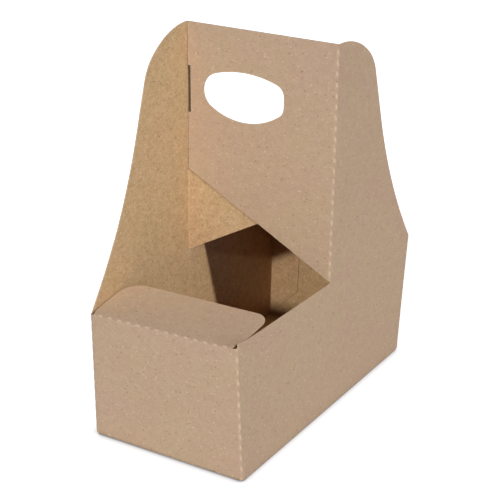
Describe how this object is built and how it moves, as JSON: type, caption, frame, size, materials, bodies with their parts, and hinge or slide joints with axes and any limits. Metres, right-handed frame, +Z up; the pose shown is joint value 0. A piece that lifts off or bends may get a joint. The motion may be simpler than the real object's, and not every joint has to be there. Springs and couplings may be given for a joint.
{
  "type": "cardboard cup carrier",
  "caption": "Folded kraft board carrier for takeaway cups, with an open tray, a cell either side of a central handle and retaining flaps at the ends.",
  "frame": {"origin": "middle of the underside", "axes": "+Z up to the handle, +X across the width between the side walls, +Y along the length from the front end wall to the rear one"},
  "size_m": [0.0974, 0.203, 0.2245],
  "materials": {
    "kraft_board": "matt uncoated brown kraft, pinkish outside and yellower inside"
  },
  "bodies": {
    "root": {"cup_carrier": "kraft_board"}
  },
  "joints": []
}
